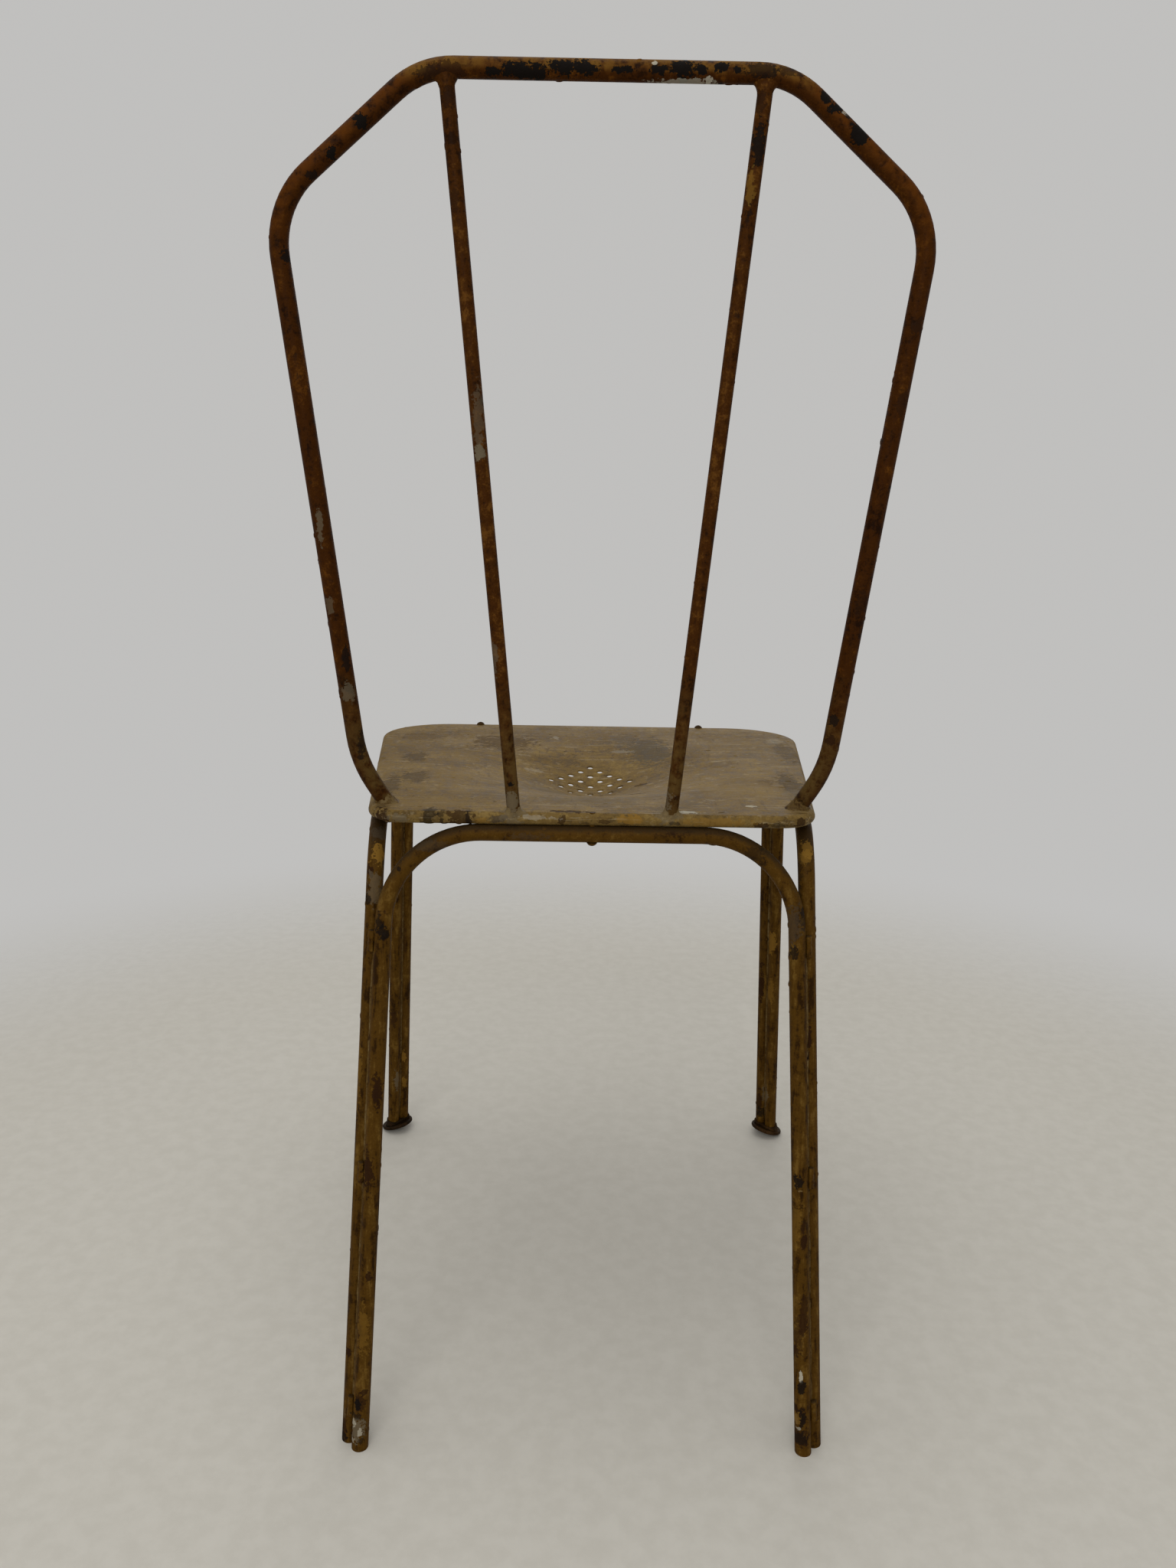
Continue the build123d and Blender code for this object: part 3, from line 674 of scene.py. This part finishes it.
def leg_seam(end, side, word, material):
    """Old paint and rust that fill the bottom of the groove between the two tubes of a leg, in pale tones that
    are partly a painted highlight of a tube's lit edge.
    """
    beads = f"{end}_{word}_leg_welds"
    low = level_middle(beads, side, LOW_BEAD_LEVEL)
    high = level_middle(beads, side, HIGH_BEAD_LEVEL)
    along = (high - low).normalized()
    outward = Vector((low.x, low.y, 0))
    across = along.cross(outward).normalized()
    out = across.cross(along).normalized()
    rows = []
    shape = bmesh.new()
    for i in range(SEAM_STEPS + 1):
        share = i / SEAM_STEPS
        height = SEAM_BOTTOM[end] + (SEAM_TOP - SEAM_BOTTOM[end]) * share
        spot = low + along * ((height - low.z) / along.z) - out * BEAD_OUT
        swell = 1 + SEAM_UNEVEN * ripple(spot, SEAM_WAVE)
        swell *= min(1, SEAM_TIP + SEAM_TAPER * share, SEAM_TIP + SEAM_TAPER * (1 - share))
        ring = []
        for k in range(SEAM_SIDES):
            turn = tau * k / SEAM_SIDES
            deep, wide = (copysign(sqrt(abs(part)), part) for part in (cos(turn), sin(turn)))
            offset = out * (SEAM_REACH * deep) + across * (SEAM_HALF * wide)
            ring.append(shape.verts.new(spot + offset * swell))
        rows.append(ring)
    for lower, upper in zip(rows, rows[1:]):
        for k in range(SEAM_SIDES):
            n = (k + 1) % SEAM_SIDES
            shape.faces.new((lower[k], lower[n], upper[n], upper[k]))
    shape.faces.new(rows[0])
    shape.faces.new(rows[-1])
    bmesh.ops.recalc_face_normals(shape, faces=shape.faces)
    name = f"{end}_{word}_seam"
    keep(name, mesh_of(name, shape), material, "frame_paint")


def spread_spots(nodes, count, sizes, pick):
    """Places on the nodes' surfaces, spread by area, each with its node and a size."""
    spots = []
    for node in nodes:
        mesh = NODES[node].data
        mesh.calc_loop_triangles()
        areas = [triangle.area for triangle in mesh.loop_triangles]
        for triangle in pick.choices(mesh.loop_triangles, areas, k=count):
            a, b = sqrt(pick.random()), pick.random()
            one, two, three = (mesh.vertices[i].co for i in triangle.vertices)
            place = one * (1 - a) + two * (a * (1 - b)) + three * (a * b)
            spots.append((node, place, pick.uniform(*sizes)))
    return spots


def blister(shape, surface, place, normal, size, pick):
    """One low ragged mound on a surface."""
    side = normal.orthogonal().normalized()
    other = normal.cross(side)
    long = pick.uniform(*BLISTER_LONG)
    spin = pick.uniform(0, pi)
    rise = size * pick.uniform(*BLISTER_RISE)
    first = side * cos(spin) + other * sin(spin)
    second = other * cos(spin) - side * sin(spin)
    rings = []
    for reach, lift in BLISTER_RINGS:
        ring = []
        for k in range(BLISTER_SIDES):
            turn = tau * k / BLISTER_SIDES
            span = size * reach * pick.uniform(*BLISTER_RAGGED)
            flat = place + first * (span * cos(turn) * long) + second * (span * sin(turn))
            near, upward = surface.find_nearest(flat)[:2]
            ring.append(shape.verts.new(near + upward * (rise * lift)))
        rings.append(ring)
    tip = shape.verts.new(place + normal * rise)
    for k in range(BLISTER_SIDES):
        n = (k + 1) % BLISTER_SIDES
        for outer, inner in zip(rings, rings[1:]):
            shape.faces.new((outer[k], outer[n], inner[n], inner[k]))
        shape.faces.new((rings[-1][k], rings[-1][n], tip))


def scabs(name, nodes, material, slot, lumps, count, sizes, seed):
    """Blisters of rust and thick paint on the outer surface of the nodes, spread by chance and where seen."""
    pick = random.Random(seed)
    shape = bmesh.new()
    spots = spread_spots(nodes, count, sizes, pick)
    for node, x, y, size in lumps:
        spots.append((node, under_pixel(node, x, y)[0], size))
    for node, place, size in spots:
        surface = SURFACES[node]
        place, normal = surface.find_nearest(place)[:2]
        if surface.ray_cast(place + normal * BLISTER_LIFT, normal, BLISTER_CLEAR)[0] is None:
            blister(shape, surface, place, normal, size, pick)
    keep(name, mesh_of(name, shape), material, slot)


def stage_floor():
    shape = bmesh.new()
    bmesh.ops.create_circle(shape, cap_ends=True, segments=FLOOR_SIDES, radius=FLOOR_RADIUS)
    mesh = mesh_of("floor", shape)
    t = Tree("floor_pale")
    colour = t.mix(t.step(t.cloud(*FLOOR_GRAIN), *FLOOR_BLEND), FLOOR_DIM, FLOOR_PALE)
    shader = t.add("ShaderNodeBsdfPrincipled")
    shader.inputs["Roughness"].default_value = FLOOR_ROUGHNESS
    shader.inputs["Specular IOR Level"].default_value = FLOOR_SPECULAR
    t.feed(shader.inputs["Base Color"], colour)
    reach = t.vector("LENGTH", t.place, (0, 0, 0)).outputs["Value"]
    fade = t.add("ShaderNodeMixShader")
    t.feed(fade.inputs[0], t.step(reach, *FLOOR_FADE))
    t.feed(fade.inputs[1], shader.outputs[0])
    t.feed(fade.inputs[2], t.add("ShaderNodeBsdfTransparent").outputs[0])
    t.feed(t.add("ShaderNodeOutputMaterial").inputs[0], fade.outputs[0])
    mesh.materials.append(t.material)
    floor = bpy.data.objects.new("floor", mesh)
    SCENE.collection.objects.link(floor)


def pale_world():
    """Even light, with the pale backdrop where the camera, a reflection or glass shows it."""
    world = bpy.data.worlds.new("pale_world")
    SCENE.world = world
    world.use_nodes = True
    tree = world.node_tree
    tree.nodes.clear()
    path = tree.nodes.new("ShaderNodeLightPath")
    seen = path.outputs["Is Camera Ray"]
    for ray in ("Is Glossy Ray", "Is Transmission Ray"):
        either = tree.nodes.new("ShaderNodeMath")
        either.operation = "MAXIMUM"
        tree.links.new(seen, either.inputs[0])
        tree.links.new(path.outputs[ray], either.inputs[1])
        seen = either.outputs[0]
    light = tree.nodes.new("ShaderNodeBackground")
    light.inputs[0].default_value = (1, 1, 1, 1)
    light.inputs[1].default_value = AMBIENT
    view = tree.nodes.new("ShaderNodeBackground")
    view.inputs[0].default_value = BACKDROP
    choice = tree.nodes.new("ShaderNodeMixShader")
    tree.links.new(seen, choice.inputs[0])
    tree.links.new(light.outputs[0], choice.inputs[1])
    tree.links.new(view.outputs[0], choice.inputs[2])
    output = tree.nodes.new("ShaderNodeOutputWorld")
    tree.links.new(choice.outputs[0], output.inputs[0])


def soft_light(name, place, target, size, watts):
    lamp = bpy.data.lights.new(name, "AREA")
    lamp.shape = "SQUARE"
    lamp.size = size
    lamp.energy = watts
    holder = bpy.data.objects.new(name, lamp)
    holder.location = place
    holder.rotation_euler = (Vector(target) - Vector(place)).to_track_quat("-Z", "Y").to_euler()
    SCENE.collection.objects.link(holder)


def photo_camera():
    lens = bpy.data.cameras.new("camera")
    lens.sensor_width = SENSOR
    lens.lens = FOCAL_PIXELS / PICTURE_HEIGHT * SENSOR
    lens.clip_start = CAMERA_NEAREST
    camera = bpy.data.objects.new("camera", lens)
    camera.matrix_world = Matrix((ACROSS, TOP, -LOOK)).transposed().to_4x4()
    camera.location = CAMERA_PLACE
    SCENE.collection.objects.link(camera)
    SCENE.camera = camera


# Materials
# each paint below also sets how strong its painted dark sheen and shade on upper sides is
hoop_paint = old_paint("hoop_paint", HOOP_TONES, HOOP_MARKS, tints=HOOP_TINTS,
                       vary=0.68, chips=0.32, painted_sheen=0.38, streaks=(0.0, 0.2))
spindle_paint = old_paint("spindle_paint", SPINDLE_TONES, SPINDLE_MARKS, tints=SPINDLE_TINTS,
                          vary=0.8, chips=0.31, painted_sheen=0.5, streaks=(0.0, 0.3), shift=3.0)
frame_paint = old_paint("frame_paint", FRAME_TONES, FRAME_MARKS,
                        vary=0.55, chips=0.285, painted_sheen=0.7, streaks=(0.95, 0.15), shift=7.0)
seat_paint = old_paint("seat_paint", SEAT_TONES, SEAT_MARKS, scratches=SEAT_SCRATCHES,
                       vary=1.0, chips=0.28, painted_sheen=0.0, shift=11.0, patch=1.6)
# paint of the leg grooves, pale in part as a painted highlight of the tubes' lit edges; also used on the hoop
# welds
seam_paint_and_highlight = old_paint("seam_paint_and_highlight", PALE_SEAM_AND_HIGHLIGHT_TONES, {},
                       vary=1.0, chips=0.34, painted_sheen=0.2, streaks=(0.2, 0.2), shift=13.0)
glide_rust = old_paint("glide_rust", GLIDE_TONES, {},
                       vary=1.0, chips=0.36, painted_sheen=0.0, shift=17.0)

dress(hoop_paint, "back_hoop")
dress(spindle_paint, "left_spindle", "right_spindle")
dress(frame_paint, *FRAME_TUBES, "rear_seat_rivet", "front_seat_rivets")
dress(seat_paint, "seat_pan")
dress(glide_rust, "front_left_glide", "front_right_glide")

# Welds of the back
spindle_feet = []
spindle_tops = []
for side, word in SIDES:
    foot = level_middle("back_hoop", side, END_LEVEL)
    axis = (level_middle("back_hoop", side, KNEE_LEVEL) - foot).normalized()
    weld = f"{word}_hoop_weld"
    fillet = fillet_welds(weld, "seat_pan", [(foot, axis)], **HOOP_FILLET)
    keep(weld + "_bead", fillet, seam_paint_and_highlight, "back_paint", weld)
    foot = level_middle(f"{word}_spindle", side, END_LEVEL)
    top = level_middle(f"{word}_spindle", side, SPINDLE_TOP_LEVEL)
    axis = (top - foot).normalized()
    spindle_feet.append((foot, axis))
    spindle_tops.append((top, -axis))
fillet = fillet_welds("spindle_feet", "seat_pan", spindle_feet, **SPINDLE_FOOT_FILLET)
keep("spindle_foot_welds_bead", fillet, seat_paint, "back_paint", "spindle_foot_welds")
fillet = fillet_welds("spindle_tops", "back_hoop", spindle_tops, **SPINDLE_TOP_FILLET)
keep("spindle_top_welds_bead", fillet, spindle_paint, "back_paint", "spindle_top_welds")

# Welds and grooves of the legs and rails
for side, word in SIDES:
    for end in SEAM_BOTTOM:
        lumpy_weld(f"{end}_{word}_leg_welds", frame_paint, "frame_paint", **LEG_BEAD)
        leg_seam(end, side, word, seam_paint_and_highlight)
    lumpy_weld(f"{word}_rail_welds", frame_paint, "frame_paint", **LEG_BEAD)
lumpy_weld("glide_welds", glide_rust, "frame_paint", **GLIDE_BEAD)

# Rust and paint blisters
scabs("hoop_scabs", ("back_hoop",), hoop_paint, "back_paint", HOOP_LUMPS, **HOOP_SCABS)
scabs("spindle_scabs", ("left_spindle", "right_spindle"), spindle_paint, "back_paint", (), **SPINDLE_SCABS)
scabs("frame_scabs", FRAME_TUBES, frame_paint, "frame_paint", FRAME_LUMPS, **FRAME_SCABS)
scabs("seat_scabs", ("seat_pan",), seat_paint, "seat_paint", SEAT_LUMPS, **SEAT_SCABS)

# Stage, lights and camera
stage_floor()
pale_world()
for light in LIGHTS:
    soft_light(*light)
photo_camera()
